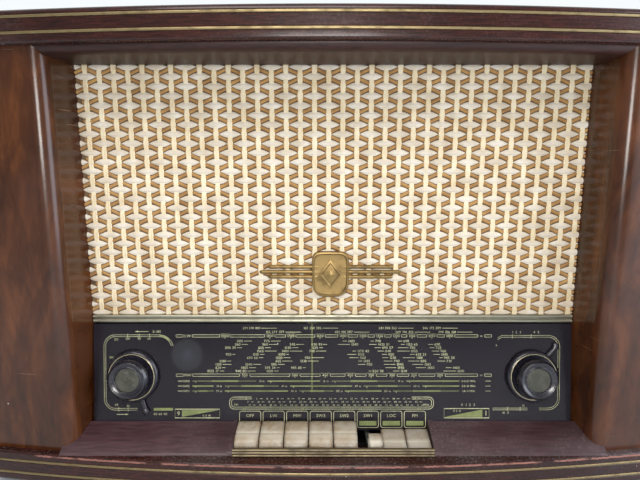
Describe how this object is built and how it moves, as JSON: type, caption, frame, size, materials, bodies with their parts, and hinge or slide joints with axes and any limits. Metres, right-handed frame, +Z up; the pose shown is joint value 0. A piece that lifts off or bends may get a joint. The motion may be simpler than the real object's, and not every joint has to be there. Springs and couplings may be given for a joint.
{
  "type": "table-top valve radio",
  "caption": "Bow-fronted wooden table radio with woven grille, glass dial, sliding pointers, concentric turning controls and latching piano keys.",
  "frame": {"origin": "middle of the footprint, on the surface that the feet stand on", "axes": "+X to the listener's right, -Y out of the front, +Z up"},
  "size_m": [0.656, 0.3099, 0.42],
  "materials": {
    "mahogany_lacquer": "dark red-brown high gloss lacquer",
    "walnut_veneer": "figured walnut veneer under gloss lacquer",
    "sill_lacquer": "dull purple-brown lacquer, dusty",
    "raw_board": "bare board",
    "trim_brass": "aged bright brass",
    "badge_bronze": "dull gold",
    "grille_fabric": "two-colour woven grille cloth",
    "dial_black": "back-painted glass",
    "bulb_glass": "clear glass",
    "bakelite_black": "moulded black",
    "key_ivory": "yellowed ivory",
    "zinc_steel": "passivated steel",
    "can_aluminium": "drawn aluminium",
    "pointer_paint": "yellow-green paint",
    "phenolic_brown": "paper laminate",
    "cord_fibre": "waxed braid",
    "ferrite_dark": "sintered ferrite",
    "speaker_steel": "black lacquered steel",
    "cone_paper": "felted paper",
    "black_rubber": "moulded rubber"
  },
  "bodies": {
    "cabinet": {"cabinet_top": "mahogany_lacquer", "cabinet_base": "mahogany_lacquer", "side_left": "walnut_veneer", "side_right": "walnut_veneer", "pillar_left": "walnut_veneer", "pillar_right": "walnut_veneer", "top_cove": "mahogany_lacquer", "sill_left": "sill_lacquer", "sill_right": "sill_lacquer", "brass_strips": "trim_brass", "baffle_board": "raw_board", "grille_cloth": "grille_fabric", "badge": "badge_bronze", "trim_strip": "trim_brass", "dial_glass": "dial_black", "dial_backplate": "zinc_steel", "pointer_rails": "zinc_steel", "dial_lamps": "bulb_glass", "magic_eye": "bulb_glass", "volume_control": "zinc_steel", "key_frame": "zinc_steel", "key_rod": "zinc_steel", "key_threshold": "trim_brass", "chassis": "zinc_steel", "mains_transformer": "zinc_steel", "output_transformer": "zinc_steel", "valves": "bulb_glass", "valve_sockets": "phenolic_brown", "screening_cans": "can_aluminium", "gang_frame": "zinc_steel", "drive_cord": "cord_fibre", "woofer_frame": "speaker_steel", "woofer_cone": "cone_paper", "rear_cover": "raw_board", "rear_screws": "trim_brass", "feet": "black_rubber", "socket_strip": "phenolic_brown", "mains_gland": "black_rubber"},
    "am_pointer": {"am_pointer": "pointer_paint"},
    "fm_pointer": {"fm_pointer": "pointer_paint"},
    "tuning": {"tuning_knob": "bakelite_black", "tuning_shaft": "zinc_steel", "flywheel": "zinc_steel"},
    "aerial_control": {"aerial_ring": "bakelite_black", "aerial_sleeve": "zinc_steel"},
    "volume": {"volume_knob": "bakelite_black", "volume_shaft": "zinc_steel"},
    "tone": {"tone_ring": "bakelite_black", "tone_sleeve": "zinc_steel"},
    "gang_rotor": {"gang_rotor": "zinc_steel"},
    "drive_drum": {"drive_drum": "phenolic_brown"},
    "ferrite_rod": {"ferrite_rod": "ferrite_dark"},
    "key_off": {"key_off": "key_ivory"},
    "key_lw": {"key_lw": "key_ivory"},
    "key_mw": {"key_mw": "key_ivory"},
    "key_sw3": {"key_sw3": "key_ivory"},
    "key_sw2": {"key_sw2": "key_ivory"},
    "key_sw1": {"key_sw1": "key_ivory"},
    "key_local": {"key_local": "key_ivory"},
    "key_fm": {"key_fm": "key_ivory"}
  },
  "joints": [
    {"name": "tuning_turn", "type": "hinge", "parent": "cabinet", "child": "tuning", "pos_m": [0.1906, -0.10007, 0.10063], "axis": [0, -0.9903, 0.1392], "range_deg": [-1514.5, 1114.4]},
    {"name": "am_pointer_slide", "type": "slide", "parent": "cabinet", "child": "am_pointer", "axis": [1, 0, 0], "range_m": [-0.1168, 0.1587]},
    {"name": "drum_turn", "type": "hinge", "parent": "cabinet", "child": "drive_drum", "pos_m": [0.1, -0.0996, 0.104], "axis": [0, -0.9903, 0.1392], "range_deg": [-207.38, 152.62]},
    {"name": "gang_turn", "type": "hinge", "parent": "cabinet", "child": "gang_rotor", "pos_m": [0.1, -0.0996, 0.104], "axis": [0, -0.9903, 0.1392], "range_deg": [-103.69, 76.31]},
    {"name": "fm_pointer_slide", "type": "slide", "parent": "cabinet", "child": "fm_pointer", "axis": [1, 0, 0], "range_m": [-0.1247, 0.0575]},
    {"name": "aerial_turn", "type": "hinge", "parent": "cabinet", "child": "aerial_control", "pos_m": [-0.1906, -0.10007, 0.10063], "axis": [0, -0.9903, 0.1392], "range_deg": [-252, 22]},
    {"name": "ferrite_turn", "type": "hinge", "parent": "cabinet", "child": "ferrite_rod", "pos_m": [-0.12, 0.044, 0.146], "axis": [0, 0, 1], "range_deg": [-160, 14]},
    {"name": "volume_turn", "type": "hinge", "parent": "cabinet", "child": "volume", "pos_m": [-0.1906, -0.10007, 0.10063], "axis": [0, -0.9903, 0.1392], "range_deg": [-200, 70]},
    {"name": "tone_turn", "type": "hinge", "parent": "cabinet", "child": "tone", "pos_m": [0.1906, -0.10007, 0.10063], "axis": [0, -0.9903, 0.1392], "range_deg": [-190, 82]},
    {"name": "key_off_press", "type": "hinge", "parent": "cabinet", "child": "key_off", "pos_m": [-0.07899, -0.052, 0.038], "axis": [1, 0, 0], "range_deg": [0, 6.5], "stiffness_Nm_per_rad": 0.6, "springref_deg": -6.88},
    {"name": "key_lw_press", "type": "hinge", "parent": "cabinet", "child": "key_lw", "pos_m": [-0.05643, -0.052, 0.038], "axis": [1, 0, 0], "range_deg": [0, 6.5], "stiffness_Nm_per_rad": 0.6, "springref_deg": -6.88},
    {"name": "key_mw_press", "type": "hinge", "parent": "cabinet", "child": "key_mw", "pos_m": [-0.03386, -0.052, 0.038], "axis": [1, 0, 0], "range_deg": [0, 6.5], "stiffness_Nm_per_rad": 0.6, "springref_deg": -6.88},
    {"name": "key_sw3_press", "type": "hinge", "parent": "cabinet", "child": "key_sw3", "pos_m": [-0.01128, -0.052, 0.038], "axis": [1, 0, 0], "range_deg": [0, 6.5], "stiffness_Nm_per_rad": 0.6, "springref_deg": -6.88},
    {"name": "key_sw2_press", "type": "hinge", "parent": "cabinet", "child": "key_sw2", "pos_m": [0.01128, -0.052, 0.038], "axis": [1, 0, 0], "range_deg": [0, 6.5], "stiffness_Nm_per_rad": 0.6, "springref_deg": -6.88},
    {"name": "key_sw1_press", "type": "hinge", "parent": "cabinet", "child": "key_sw1", "pos_m": [0.03386, -0.052, 0.038], "axis": [1, 0, 0], "range_deg": [0, 6.5], "stiffness_Nm_per_rad": 0.6, "springref_deg": -6.88},
    {"name": "key_local_release", "type": "hinge", "parent": "cabinet", "child": "key_local", "pos_m": [0.05643, -0.052, 0.038], "axis": [1, 0, 0], "range_deg": [-6.5, 0]},
    {"name": "key_fm_release", "type": "hinge", "parent": "cabinet", "child": "key_fm", "pos_m": [0.07899, -0.052, 0.038], "axis": [1, 0, 0], "range_deg": [-6.5, 0]}
  ],
  "couplings": [
    {"joint": "am_pointer_slide", "follows": "tuning_turn", "m_per_rad": -0.006},
    {"joint": "drum_turn", "follows": "tuning_turn", "ratio": 0.13684},
    {"joint": "gang_turn", "follows": "tuning_turn", "ratio": 0.068419},
    {"joint": "ferrite_turn", "follows": "aerial_turn", "ratio": 0.6339}
  ]
}
